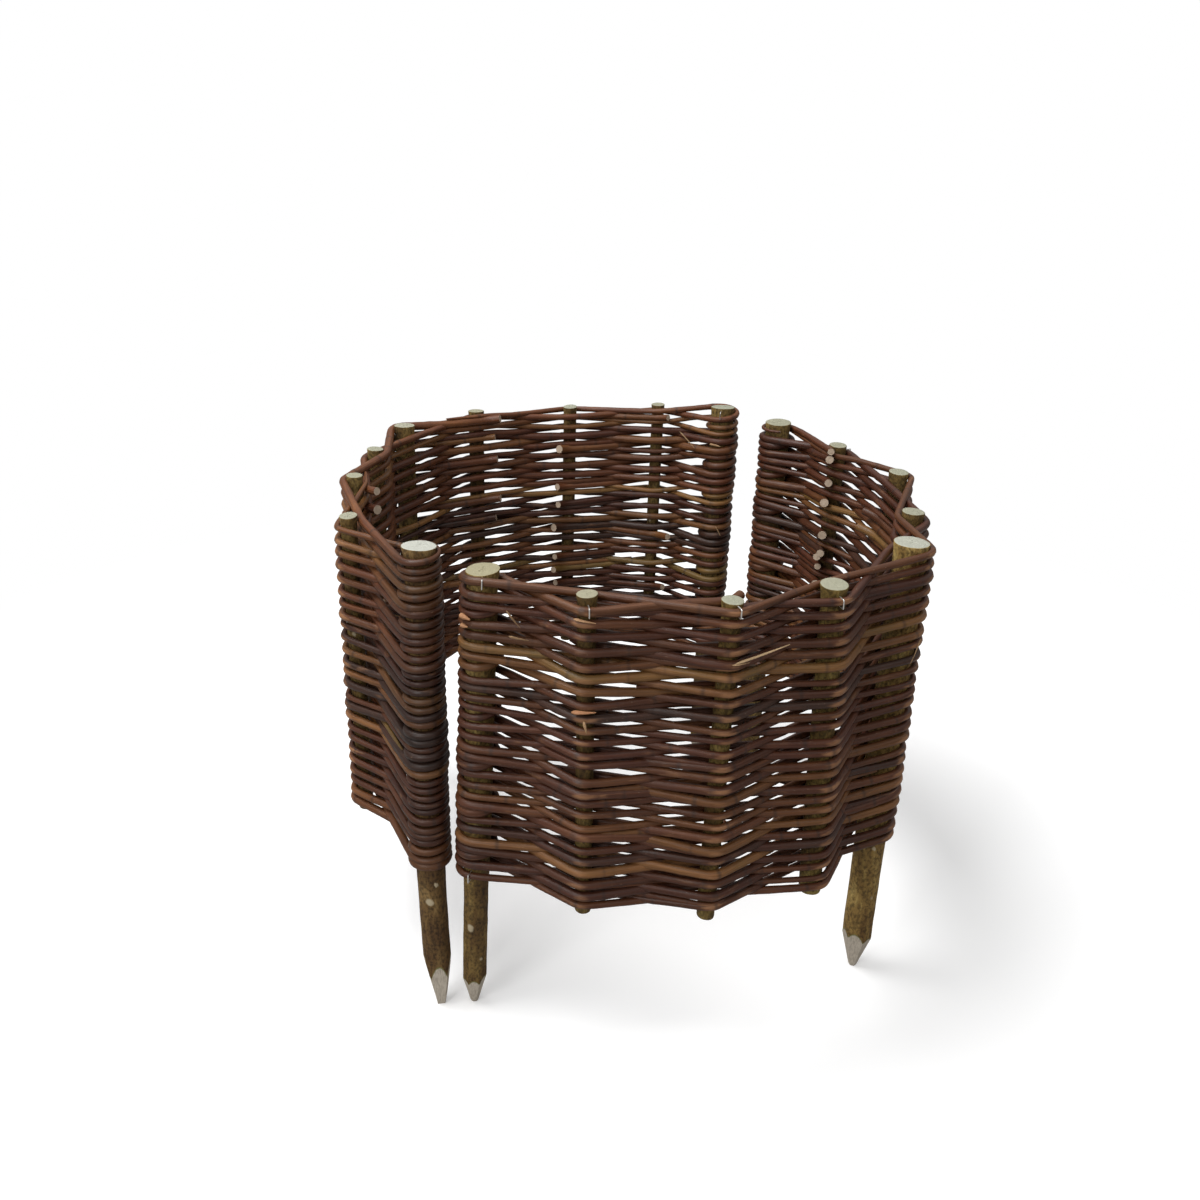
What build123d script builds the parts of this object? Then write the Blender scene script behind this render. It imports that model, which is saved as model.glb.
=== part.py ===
"""Woven edging ring: two half-ring willow hurdles that stand together round a plant.

Millimetres, Z up. The origin is on the floor at the middle of the ring, and the six leg tips stand on
the floor. The gap between the halves lies along the YZ plane, with the left half on the -X side.
"""
import os
from math import acos, asin, atan2, cos, degrees, hypot, pi, sin, sqrt

from build123d import *

os.makedirs("parts", exist_ok=True)

# the ring
ring_radius = 250.0          # a half's stake line, from the half's own centre
half_offset = 15.5           # each half's centre stands this far out from the split plane
ring_shift = (-1.0, 4.0)     # brings the middle of the whole, as it grew, over the origin
half_gap = 3.0               # between the two weaves at the foot of the front end stakes, but for what drifted
stake_count = 9              # stakes in a half: the ends and the middle one are thick and long

# heights
stake_top = 445.0            # nominal height of the stake tops
top_margin = 4.0             # how far a stake stands up out of the weave
weave_height = 287.0
stub_length = 9.0            # what shows of a thin stake under the weave
point_length = 40.0          # the cut point of a long stake
tip_width = 7.0              # the blunt end of the point
leg_loss = 0.3               # a leg is this much slimmer all round than its length in the weave
leg_margin = 3.0             # from the top of the slim leg up to the weave
flat_count = 16              # the length in the weave is drawn with flats, a leg is truly round

# the weave: bands of rods that pass the stakes on alternate sides
band_count = 13
rods_in_band = 2
rod_thickness = 6.0          # across the wall, at a rod's middle
rod_waist = 3.6              # across the wall, where a rod rests on the next one
stake_clearance = 0.3        # between a stake and the rods that pass it
wrap_turns = 3               # straight runs that a rod takes round an end stake

# what grew and was driven unevenly, one value a stake from the first end to the last:
# degrees from the even step, distance from the stake line, height of the top, diameter
left_turn_drift = (-0.4, -2.6, -3.2, -1.6, 2.8, 2.4, -1.8, -3.4, 0.8)
left_line_drift = (1, 9, -6, -4, 8, 2, -3, 0, 0)
left_top_drift = (7, 1, 3, 1, 3, 0, -5, -1, 5)
left_diameter = (26, 15, 15, 16, 21, 17, 15, 14, 25)
right_turn_drift = (0.6, 2.7, 1.7, 1.4, 2.7, 1.2, 1.6, -2.1, -1.5)
right_line_drift = (1, -5, 1, -6, 5, -2, 0, -3, -6)
right_top_drift = (0, -3, 0, -4, 2, -6, -3, -1, 1)
right_diameter = (26, 17, 18, 19, 28, 20, 16, 15, 25)

# lean of a stake, as the way its foot has moved in X and Y for each mm of depth
left_lean = {0: (0.032, -0.034)}
right_lean = {4: (0.0, 0.012), 5: (0.022, 0.030), 6: (-0.010, 0.007), 7: (0.0, 0.018), 8: (-0.031, -0.012)}

# from here on everything follows from the values above
weave_top = stake_top - top_margin
weave_bottom = weave_top - weave_height
band_height = weave_height / band_count
rod_pitch = band_height / rods_in_band
middle = stake_count // 2
# an end stake leaves room for its rods, which turn round it with corners, and for its lean
end_wrap = (left_diameter[0] / 2 + stake_clearance + rod_thickness) / cos(pi / 2 / wrap_turns)
end_stake_reach = half_gap / 2 + end_wrap + left_lean[0][0] * weave_height
stake_step = degrees(acos((end_stake_reach - half_offset) / ring_radius)) / middle
long_stakes = (0, middle, stake_count - 1)


def lay_out(outward, turn_drift, line_drift, top_drift, diameter, lean):
    """The stakes of one half, in order, each as its top, its lean and its diameters."""
    centre = Vector(*ring_shift) + Vector(half_offset, 0).rotate(Axis.Z, outward)
    stakes = []
    for i in range(stake_count):
        bearing = outward + (middle - i) * stake_step + turn_drift[i]
        place = centre + Vector(ring_radius + line_drift[i], 0).rotate(Axis.Z, bearing)
        top = Vector(place.X, place.Y, stake_top + top_drift[i])
        stakes.append({
            "top": top,
            "lean": Vector(*lean.get(i, (0.0, 0.0)), 0.0),
            "long": i in long_stakes,
            "radius": diameter[i] / 2,
        })
    return stakes


def axis_at(stake, height):
    """Where the middle of a leaning stake is at a height."""
    depth = stake["top"].Z - height
    return Vector(stake["top"].X, stake["top"].Y, height) + stake["lean"] * depth


def make_long_stake(label, stake):
    """A thick stake: a round leg with a point cut in four, and a stouter length up through the weave."""
    under = 1.0
    foot = axis_at(stake, -under)
    leg_top = axis_at(stake, weave_bottom - leg_margin)
    way_up = stake["top"] - foot
    leg_radius = stake["radius"] - leg_loss
    cut_angle = atan2(leg_radius - tip_width / 2, point_length)
    stand = Plane(origin=foot, z_dir=way_up)
    with BuildPart() as piece:
        with BuildSketch(stand):
            Circle(leg_radius)
        extrude(amount=(leg_top - foot).length)
        with BuildSketch(Plane(origin=leg_top, z_dir=way_up)):
            RegularPolygon(stake["radius"], flat_count)
        extrude(amount=(stake["top"] - leg_top).length)
        # four slanting cuts leave a blunt square tip, and meet the bark in arches
        for side in range(4):
            edge = Vector(tip_width / 2, 0, 0).rotate(Axis.Z, 90 * side)
            facing = Vector(cos(cut_angle), 0, -sin(cut_angle)).rotate(Axis.Z, 90 * side)
            on_cut = stand.from_local_coords(edge)
            cut = Plane(origin=on_cut, z_dir=stand.from_local_coords(edge + facing) - on_cut)
            split(bisect_by=cut, keep=Keep.BOTTOM)
        # the tip stands flat on the floor
        split(bisect_by=Plane.XY)
    piece.part.label = label
    return piece.part


def make_thin_stake(label, stake):
    """A thin stake: cut off square a little below the weave."""
    foot = axis_at(stake, weave_bottom - stub_length)
    way_up = stake["top"] - foot
    with BuildPart() as piece:
        with BuildSketch(Plane(origin=foot, z_dir=way_up)):
            RegularPolygon(stake["radius"], flat_count)
        extrude(amount=way_up.length)
    piece.part.label = label
    return piece.part


def turned(normal, angle):
    """A flat direction turned about Z by an angle in radians."""
    return Vector(normal.X * cos(angle) - normal.Y * sin(angle), normal.X * sin(angle) + normal.Y * cos(angle))


def line_past(normal, centre, reach):
    """The straight run, as its normal and offset, that passes a stake at a signed reach."""
    return normal, normal.X * centre.X + normal.Y * centre.Y + reach


def corner(run, next_run):
    """Where two straight runs meet."""
    (n, c), (m, d) = run, next_run
    det = n.X * m.Y - n.Y * m.X
    return Vector((c * m.Y - d * n.Y) / det, (d * n.X - c * m.X) / det)


def wrap_corners(run, centre, next_centre, reach, next_reach):
    """The corners of a rod that turns round an end stake, and the point where it stops.

    The run comes from the next stake, and the rod ends on the far side of this one.
    """
    span = hypot(next_centre.X - centre.X, next_centre.Y - centre.Y)
    turn = (pi + 2 * asin((abs(reach) + next_reach) / span)) / wrap_turns
    runs = [run]
    for j in range(1, wrap_turns):
        normal = turned(run[0], -turn * j if reach > 0 else turn * j)
        runs.append(line_past(normal, centre, reach))
    corners = [corner(a, b) for a, b in zip(runs, runs[1:])]
    normal = runs[-1][0]
    touch = Vector(centre.X, centre.Y) + normal * reach
    return corners + [touch * 2 - corners[-1]]


def weave_line(stakes, height, first_side):
    """The middle line of a band: straight runs that pass each stake on the other side from the last.

    A side of 1 is outside the ring. Each run touches the clearance circles of the two stakes it joins.
    """
    centres = [axis_at(s, height) for s in stakes]
    # a rod above or below the band's middle is level, so a leaning stake comes nearer to it there
    lean_room = [s["lean"].length * (band_height - rod_pitch) / 2 for s in stakes]
    reach = [s["radius"] + room + stake_clearance + rod_thickness / 2 for s, room in zip(stakes, lean_room)]
    side = [first_side * (-1) ** i for i in range(len(stakes))]
    runs = []
    for i in range(len(stakes) - 1):
        ahead = Vector(centres[i + 1].X - centres[i].X, centres[i + 1].Y - centres[i].Y)
        along = (side[i] * reach[i] - side[i + 1] * reach[i + 1]) / ahead.length
        unit = ahead.normalized()
        normal = unit * along + turned(unit, pi / 2) * sqrt(1 - along ** 2)
        runs.append(line_past(normal, centres[i], side[i] * reach[i]))
    backwards = (runs[0][0] * -1, -runs[0][1])
    first_wrap = wrap_corners(backwards, centres[0], centres[1], -side[0] * reach[0], reach[1])
    last_wrap = wrap_corners(runs[-1], centres[-1], centres[-2], side[-1] * reach[-1], reach[-2])
    between = [corner(a, b) for a, b in zip(runs, runs[1:])]
    points = first_wrap[::-1] + between + last_wrap
    return [Vector(p.X, p.Y, height) for p in points]


def make_band(stakes, index):
    """One band: rods one on the other, swept along the weave line with a mitre at every stake."""
    height = weave_bottom + (index + 0.5) * band_height
    line = weave_line(stakes, height, 1 if index % 2 else -1)
    with BuildPart() as band:
        with BuildLine() as path:
            Polyline(*line)
        ahead = path.line % 0
        start = Plane(origin=path.line @ 0, x_dir=Vector(0, 0, 1).cross(ahead), z_dir=ahead)
        with BuildSketch(start) as section:
            with GridLocations(0, rod_pitch, 1, rods_in_band):
                Polygon(
                    (-rod_waist / 2, -rod_pitch / 2),
                    (rod_waist / 2, -rod_pitch / 2),
                    (rod_thickness / 2, 0),
                    (rod_waist / 2, rod_pitch / 2),
                    (-rod_waist / 2, rod_pitch / 2),
                    (-rod_thickness / 2, 0),
                )
        sweep(transition=Transition.RIGHT)
    return band.part


def make_weave(label, stakes):
    """The woven wall of a half: all its bands, which rest on each other between the stakes."""
    with BuildPart() as wall:
        add([make_band(stakes, index) for index in range(band_count)])
    wall.part.label = label
    return wall.part


halves = {
    "left": lay_out(180, left_turn_drift, left_line_drift, left_top_drift, left_diameter, left_lean),
    "right": lay_out(0, right_turn_drift, right_line_drift, right_top_drift, right_diameter, right_lean),
}
stake_names = {
    "left": ("front_end", "thin_1", "thin_2", "thin_3", "middle", "thin_4", "thin_5", "thin_6", "back_end"),
    "right": ("back_end", "thin_1", "thin_2", "thin_3", "middle", "thin_4", "thin_5", "thin_6", "front_end"),
}

for half, stakes in halves.items():
    for name, stake in zip(stake_names[half], stakes):
        label = f"{half}_{name}_stake"
        maker = make_long_stake if stake["long"] else make_thin_stake
        export_step(maker(label, stake), f"parts/{label}.step")
    export_step(make_weave(f"{half}_weave", stakes), f"parts/{half}_weave.step")

print(f"weave from {weave_bottom:.0f} to {weave_top:.0f} mm, rods {rod_pitch:.2f} mm apart")
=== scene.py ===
# %% [markdown]
# # A woven edging ring
#
# Two half rings of woven willow stand together round a plant. Each half has nine stakes, three of them long
# and pointed, and about fifty rows of thin rods that run in front of one stake and behind the next.
#
# A weave can be faked with a bump on a plain wall, but then no light comes through it and its edge is
# smooth. Here every rod is a real tube that goes where a weaver's hands would take it, and the stakes are
# surfaces of their own. The CAD frame says where each stake stands, and this file only dresses it.

import math

import bpy
import numpy as np
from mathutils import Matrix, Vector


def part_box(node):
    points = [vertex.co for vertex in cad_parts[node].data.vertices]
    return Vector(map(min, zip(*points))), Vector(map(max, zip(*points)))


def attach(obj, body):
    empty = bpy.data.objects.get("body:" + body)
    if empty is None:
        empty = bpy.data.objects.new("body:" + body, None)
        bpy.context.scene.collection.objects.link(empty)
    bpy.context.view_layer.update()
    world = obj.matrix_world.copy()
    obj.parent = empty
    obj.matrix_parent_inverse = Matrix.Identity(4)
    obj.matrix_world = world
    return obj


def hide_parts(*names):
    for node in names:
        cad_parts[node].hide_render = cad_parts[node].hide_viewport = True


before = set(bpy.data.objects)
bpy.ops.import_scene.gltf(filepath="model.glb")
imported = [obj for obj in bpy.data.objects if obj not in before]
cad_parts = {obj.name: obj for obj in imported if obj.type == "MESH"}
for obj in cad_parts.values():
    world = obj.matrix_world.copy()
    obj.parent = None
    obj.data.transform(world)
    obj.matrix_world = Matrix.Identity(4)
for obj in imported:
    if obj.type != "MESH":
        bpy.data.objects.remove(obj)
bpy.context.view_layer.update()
mm = 0.001

# %% [markdown]
# ## Where the stakes stand
#
# The stakes grew unevenly and lean a little, and the rods have to bend round them where they really are. The
# places could be typed in again, but two lists drift apart, so they are read from the CAD stakes: the middle
# of the top ring and the middle of the foot give the axis, and the widest point of each gives the thickness.

# %% Read the stakes from the frame
stake_order = {
    "left": ("front_end", "thin_1", "thin_2", "thin_3", "middle", "thin_4", "thin_5", "thin_6", "back_end"),
    "right": ("back_end", "thin_1", "thin_2", "thin_3", "middle", "thin_4", "thin_5", "thin_6", "front_end"),
}


def read_stake(node):
    """The axis and thickness of a CAD stake.

    The top is the mean of the highest ring of points and the foot is the mean of the lowest one. The radius
    is the largest distance of a point of the ring from its mean, taken at the top and over the whole stake.
    """
    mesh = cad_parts[node].data
    points = np.empty(len(mesh.vertices) * 3, np.float32)
    mesh.vertices.foreach_get("co", points)
    points = points.reshape(-1, 3).astype(float)
    top_ring = points[points[:, 2] > points[:, 2].max() - 2 * mm]
    foot_ring = points[points[:, 2] < points[:, 2].min() + 1 * mm]
    top, foot = top_ring.max(0) / 2 + top_ring.min(0) / 2, foot_ring.max(0) / 2 + foot_ring.min(0) / 2
    lean = (top - foot)[:2] / (top - foot)[2]
    from_axis = points[:, :2] - foot[:2] - (points[:, 2:] - foot[2]) * lean
    return {
        "node": node,
        "top": top,
        "foot": foot,
        "lean": lean,
        "radius": np.linalg.norm((top_ring - top)[:, :2], axis=1).max(),
        "leg_radius": np.linalg.norm(from_axis, axis=1).max(),
        "long": foot[2] < 20 * mm,
    }


stakes = {half: [read_stake(f"{half}_{name}_stake") for name in names] for half, names in stake_order.items()}
for half, row in stakes.items():
    print(half, "stakes, mm thick:", [round(stake["radius"] * 2 / mm, 1) for stake in row])


def axis_at(stake, height):
    """The middle of a leaning stake at a height: foot plus lean times the height above the foot."""
    return stake["foot"][:2] + stake["lean"] * (np.asarray(height)[..., None] - stake["foot"][2])


# %% [markdown]
# ## Surfaces from grids of points
#
# Every new piece here is a grid: one direction goes along it and the other goes round it. A grid could be
# built face by face, but numpy works out all its points at once, and the faces follow from the grid's size.
# The two ends are closed with a fan of triangles round a middle point, so nothing is left open.

# %% The faces of a grid
def grid_faces(rows, columns, first):
    """The faces of a tube of rows by columns points, numbered from first, and of its two closing fans.

    Point (row, column) has the number first + row * columns + column. The two middle points of the ends come
    after the grid. Each face lists its corners so that it looks outwards.
    """
    row, column = np.meshgrid(np.arange(rows - 1), np.arange(columns), indexing="ij")
    beside = (column + 1) % columns
    here, next_row = row * columns, (row + 1) * columns
    quads = np.stack([here + column, next_row + column, next_row + beside, here + beside], -1).reshape(-1, 4)
    edge = np.arange(columns)
    after = (edge + 1) % columns
    last_row = (rows - 1) * columns
    start_fan = np.stack([np.full(columns, rows * columns), edge, after], -1)
    end_fan = np.stack([np.full(columns, rows * columns + 1), last_row + after, last_row + edge], -1)
    return quads + first, np.concatenate([start_fan, end_fan]) + first


print("a tube of 3 rows of 4 points has", [len(faces) for faces in grid_faces(3, 4, 0)], "faces")


# %% Join the grids of one piece
def join_tubes(tubes):
    """The points, four-sided faces, end triangles, stored values and cut ends of several tubes.

    A tube is a dictionary. "grid" is its grid of points and "values" holds a number or vector for each point of
    the grid. "middles" may give the values of the two middle points, which else are the mean of their ring, and
    "cut" says how much its ends are fresh wood.
    """
    points, quads, fans, cut, first = [], [], [], [], 0
    values = {key: [] for key in tubes[0]["values"]}
    for tube in tubes:
        grid = tube["grid"]
        rows, columns = grid.shape[:2]
        points += [grid.reshape(-1, 3), np.array([grid[0].mean(0), grid[-1].mean(0)])]
        for key, value in tube["values"].items():
            width = value.shape[-1]
            middles = tube.get("middles", {}).get(key, [value[0].mean(0), value[-1].mean(0)])
            values[key] += [value.reshape(-1, width), np.array(middles).reshape(2, width)]
        body, ends = grid_faces(rows, columns, first)
        quads.append(body)
        fans.append(ends)
        cut.append(np.full(2 * columns, tube.get("cut", 0.0)))
        first += rows * columns + 2
    values = {key: np.concatenate(parts) for key, parts in values.items()}
    return np.concatenate(points), np.concatenate(quads), np.concatenate(fans), values, np.concatenate(cut)


# %% Make a piece from its arrays
def store(mesh, key, kind, domain, numbers):
    """Keeps a number or a vector for each point or face, where the finishes find it by its name."""
    layer = mesh.attributes.new(key, kind, domain)
    layer.data.foreach_set("vector" if kind == "FLOAT_VECTOR" else "value", numbers.astype(np.float32).ravel())


def add_piece(name, tubes, sharp=50):
    """One mesh object from several tubes, smooth but for edges that turn more than so many degrees."""
    points, quads, fans, values, cut = join_tubes(tubes)
    mesh = bpy.data.meshes.new(name)
    mesh.vertices.add(len(points))
    mesh.vertices.foreach_set("co", points.astype(np.float32).ravel())
    mesh.loops.add(quads.size + fans.size)
    mesh.loops.foreach_set("vertex_index", np.concatenate([quads.ravel(), fans.ravel()]).astype(np.int32))
    mesh.polygons.add(len(quads) + len(fans))
    starts = np.concatenate([np.arange(len(quads)) * 4, quads.size + np.arange(len(fans)) * 3])
    mesh.polygons.foreach_set("loop_start", starts.astype(np.int32))
    mesh.update(calc_edges=True)
    mesh.validate()
    for key, numbers in values.items():
        store(mesh, key, {1: "FLOAT", 3: "FLOAT_VECTOR"}[numbers.shape[1]], "POINT", numbers)
    store(mesh, "cut_end", "FLOAT", "FACE", np.concatenate([np.zeros(len(quads)), cut]))
    mesh.polygons.foreach_set("use_smooth", np.ones(len(mesh.polygons), bool))
    mesh.set_sharp_from_angle(angle=math.radians(sharp))
    piece = bpy.data.objects.new(name, mesh)
    bpy.context.scene.collection.objects.link(piece)
    print(f"{name}: {len(quads) * 2 + len(fans)} triangles")
    return piece


# %% [markdown]
# ## Values that wander
#
# Nothing that grew is even. A noise texture could shake the surfaces, but a rod must stay smooth while it
# wanders, so the unevenness is a sum of a few slow waves. Each comes from a seed, so every run is the same.

# %% A smooth wandering value
def wander(distance, seed, longest, waves=5):
    """A smooth value of about -1 to 1 along a distance.

    It is 1.5 times the weighted mean of sine waves with seeded sizes and starting points. Wave n is
    longest / (1 + 0.8 n) long.
    """
    rng = np.random.default_rng(seed)
    lengths = longest / (1 + 0.8 * np.arange(waves))
    starts, sizes = rng.uniform(0, 2 * np.pi, waves), rng.uniform(0.5, 1, waves)
    swings = np.sin(2 * np.pi * np.asarray(distance)[..., None] / lengths + starts)
    return (swings * sizes).sum(-1) / sizes.sum() * 1.5


print("wander:", np.round(wander(np.linspace(0, 1, 5), 1, 1.0), 2).tolist())

# %% [markdown]
# ## The way of the rods
#
# A weaver works from the bottom up: a rod goes in front of one stake and behind the next, turns round the
# end stake and comes back one row higher on the other sides. Drawn from above, that is a belt round pulleys:
# straight between two stakes and bent round each of them. A curve through hand-placed points could come
# close, but the belt is exact, and it moves when a stake does.
#
# The end stakes carry more turns than there are rows, because a weaver fills them with an extra turn now and
# then. The number of turns seen on each is counted, and the turns are shared out evenly.

# %% The heights of the rows
rod_rows = 50
stakes_in_half = 9
end_stakes = (0, stakes_in_half - 1)
weave_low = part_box("left_weave")[0][2]
weave_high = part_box("left_weave")[1][2]
row_height = (weave_high - weave_low) / rod_rows
below_top = 2 * mm           # from the top of a stake down to the middle of its last rod
crowding = 2.0 * mm          # how far the third row is knocked towards the edge of the weave
drift_size = 2.6 * mm
shake_size = 1.6 * mm


def row_heights(seed, tops):
    """The height of every row at each stake, as a grid of rows by stakes.

    Height = weave_low + (row + a half) * row_height + a slow drift + a small shake. Both fade out at the
    lowest and highest row. The upper rows also rise or fall by share^3 of what brings the last one to its
    place under the top of its stake, because the weaver knocks the rods up and down until the edge fits. Near
    an edge the rows crowd towards it by x * e^(1 - x) of the crowding, with x = rows from the edge / 2.5.
    """
    rng = np.random.default_rng(seed)
    row = np.arange(rod_rows)
    from_edge = np.minimum(row, rod_rows - 1 - row) / 2.5
    crowd = np.sign(row - rod_rows / 2 + 0.5) * from_edge * np.exp(1 - from_edge)
    level = weave_low + (row + 0.5) * row_height + crowd * crowding
    fade = np.sin(np.pi * (row + 0.5) / rod_rows)[:, None] ** 0.7
    drift = np.stack([wander(row, seed * 20 + i, 17.0) for i in range(stakes_in_half)], -1)
    shake = rng.uniform(-1, 1, (rod_rows, stakes_in_half))
    fit = ((row + 0.5) / rod_rows)[:, None] ** 3 * (np.array(tops)[None, :] - below_top - weave_high)
    return level[:, None] + fit + drift * fade * drift_size + shake * fade * shake_size


print(f"rows {row_height / mm:.2f} mm apart from {weave_low / mm:.0f} to {weave_high / mm:.0f} mm")


# %% The visits of a rod to the stakes
def plan_visits(row_stakes, first_side, turns, seed):
    """The stakes in the order in which the rods reach them, up the whole half ring.

    Side is 1 outside the ring and -1 inside it, and changes with each stake and each row. Hand is 1 where the
    stake lies on the left of the rod and -1 where it lies on the right. Even rows go clockwise from the first
    stake, seen from above, so there hand = -side, and odd rows come back with hand = side. The turns on an end
    stake are shared out over its visits by rounding visit * turns / visits.
    """
    tops = [stake["top"][2] for stake in row_stakes]
    heights = row_heights(seed, tops)
    rng = np.random.default_rng(seed + 70)
    shares, used = {}, {}
    for end, count in zip(end_stakes, (rod_rows // 2 + 1, rod_rows // 2)):
        shares[end] = list(np.diff(np.round(np.arange(count + 1) * turns[end] / count)).astype(int))
        used[end] = 0
    visits = []
    for k in range(rod_rows):
        order = range(stakes_in_half) if k % 2 == 0 else range(stakes_in_half - 1, -1, -1)
        # a row begins at the end stake where the last one ended
        for i in order[min(k, 1) :]:
            side = first_side * (-1) ** (i + k)
            visit = {"stake": i, "side": side, "hand": -side if k % 2 == 0 else side, "full": 0}
            visit["low"] = visit["high"] = heights[k, i]
            if i in end_stakes:
                share, spacing = shares[i].pop(0), (tops[i] - below_top - weave_low) / turns[i]
                lowest = weave_low + (used[i] + 0.5) * spacing
                used[i] += share
                slip = rng.uniform(-1.3, 1.3) * mm if 0 < k < rod_rows - 2 else 0.0
                slope = rng.uniform(0.1, 0.45) * spacing
                visit["low"] = lowest - slope + slip
                visit["high"] = lowest + (share - 1) * spacing + slope + slip
                visit["full"] = share - 1
            visits.append(visit)
    return visits


# %% The way of a rod past its visits
loose_end = 4.4              # how far the first and the last rod reach round their end stake, in radians
stake_room = 0.25 * mm       # between a rod and the stake that it passes


def follow_visits(row, visits, rod_radius):
    """The middle line of the rods, from their visits.

    With e the direction from one stake to the next, a = (hand * reach there - hand * reach here) / distance
    is the sine of the belt's slant, and its normal is a * e + sqrt(1 - a * a) * (e turned left). The rod
    touches at stake - hand * reach * normal. Between two normals it turns round the stake at that reach.
    Returns the points, how strongly the rod bends at each of them and to which side, and the number of the
    first and last point of each visit.
    """
    centre = np.array([axis_at(row[v["stake"]], (v["low"] + v["high"]) / 2) for v in visits])
    hand = np.array([v["hand"] for v in visits], float)
    reach = np.array([row[v["stake"]]["radius"] for v in visits]) + rod_radius + stake_room
    step = np.diff(centre, axis=0)
    distance = np.linalg.norm(step, axis=1)
    ahead = step / distance[:, None]
    left = np.stack([-ahead[:, 1], ahead[:, 0]], -1)
    slant = (hand[1:] * reach[1:] - hand[:-1] * reach[:-1]) / distance
    normal = slant[:, None] * ahead + np.sqrt(1 - slant**2)[:, None] * left
    bearing_out = np.arctan2(-hand[:-1] * normal[:, 1], -hand[:-1] * normal[:, 0])
    bearing_in = np.arctan2(-hand[1:] * normal[:, 1], -hand[1:] * normal[:, 0])
    bearing_in = np.concatenate([[bearing_out[0] - hand[0] * loose_end], bearing_in])
    bearing_out = np.concatenate([bearing_out, [bearing_in[-1] + hand[-1] * loose_end]])
    turn = (hand * (bearing_out - bearing_in)) % (2 * np.pi)
    turn = np.where(turn > 1.75 * np.pi, 0.0, turn) + 2 * np.pi * np.array([v["full"] for v in visits])
    points, bends, marks, count = [], [], [], 0
    for n, visit in enumerate(visits):
        steps = max(2, int(np.ceil(turn[n] / np.radians(13))) + 1)
        part = np.linspace(0, 1, steps)
        bearing = bearing_in[n] + hand[n] * turn[n] * part
        height = visit["low"] + (visit["high"] - visit["low"]) * part
        round_x, round_y = reach[n] * np.cos(bearing), reach[n] * np.sin(bearing)
        points.append(np.stack([centre[n, 0] + round_x, centre[n, 1] + round_y, height], -1))
        marks.append((count, count + steps - 1))
        bends.append(np.full(steps, hand[n] * (min(turn[n], 1.0) if turn[n] < 2 else 0.25)))
        count += steps
        if n + 1 < len(visits):
            onward = np.linspace(0, 1, 15)[1:-1, None]
            here = points[-1][-1]
            there = np.append(centre[n + 1] - hand[n + 1] * reach[n + 1] * normal[n], visits[n + 1]["low"])
            points.append(here + (there - here) * onward)
            bends.append(np.zeros(len(onward)))
            count += len(onward)
    return np.concatenate(points), np.concatenate(bends), marks


def relax(points, times):
    """Softer bends: each point becomes half of itself and a quarter of each neighbour, so many times."""
    points = points.copy()
    for _ in range(times):
        points[1:-1] = points[1:-1] / 2 + (points[:-2] + points[2:]) / 4
    return points


# %% Lead the rods up each half
mean_rod_radius = 3.4 * mm
# the turns that are seen on the first and the last stake of each half
end_turns = {"left": (38, 32), "right": (34, 31)}
inside = -1
rod_lines = {}
for half, seed in (("left", 3), ("right", 5)):
    visits = plan_visits(stakes[half], inside, dict(zip(end_stakes, end_turns[half])), seed)
    points, bends, marks = follow_visits(stakes[half], visits, mean_rod_radius)
    rod_lines[half] = (visits, relax(points, 5), relax(bends, 3), marks)
    length = np.linalg.norm(np.diff(points, axis=0), axis=1).sum()
    print(f"{half}: {len(visits)} visits, {len(points)} points, {length:.1f} m of rod")

# %% [markdown]
# ## Cutting the way into rods
#
# No willow rod is forty metres long. A real one is a metre or two, thick at its butt and thin at its tip, so
# the weaver lays a new butt beside the old tip, behind a stake where it can't spring out. The pale round cuts
# inside the ring are those butts. So the way is cut into lengths at stakes that it passes on the inside, and
# each new rod starts a little before the stake, straight, with the two ends eased apart in height.

# %% Choose where the rods join
favoured_joints = {"left": (6, 7, 5, 2), "right": (6, 2, 1)}


def distance_along(line):
    """How far along a line each of its points lies, from 0 at the first one."""
    return np.concatenate([[0], np.cumsum(np.linalg.norm(np.diff(line, axis=0), axis=1))])


def choose_joints(half, seed):
    """The visits at which one rod ends and the next begins.

    A rod is wanted 0.85 to 1.55 m long. Of the inside visits from 0.6 m on, the one nearest to the wanted
    length is taken, and a stake that the weaver favoured counts as 0.3 m nearer.
    """
    visits, points, _, marks = rod_lines[half]
    rng = np.random.default_rng(seed)
    along = distance_along(points)
    joints, at = [], 0.0
    while at < along[-1] - 1.1:
        wanted = at + rng.uniform(0.85, 1.55)
        fitting = [
            (abs(along[marks[n][1]] - wanted) - (0.3 if v["stake"] in favoured_joints[half] else 0), n)
            for n, v in enumerate(visits)
            if v["side"] == inside and v["stake"] not in end_stakes and along[marks[n][1]] > at + 0.6
        ]
        if not fitting:
            break
        joints.append(min(fitting)[1])
        at = along[marks[joints[-1]][1]]
    return joints


joints = {half: choose_joints(half, seed) for half, seed in (("left", 11), ("right", 12))}
print({half: len(found) + 1 for half, found in joints.items()}, "rods")


# %% [markdown]
# ## The rods as tubes
#
# A bevelled curve would give each rod one thickness and no knots. The tube here is a grid instead: its radius
# falls from butt to tip and swells a little at each bud scar, and each rod gets its own brown. The bark's
# pattern has to follow the rod round every bend, so each point stores how far along the rod it lies and
# where on the section it is.

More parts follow.
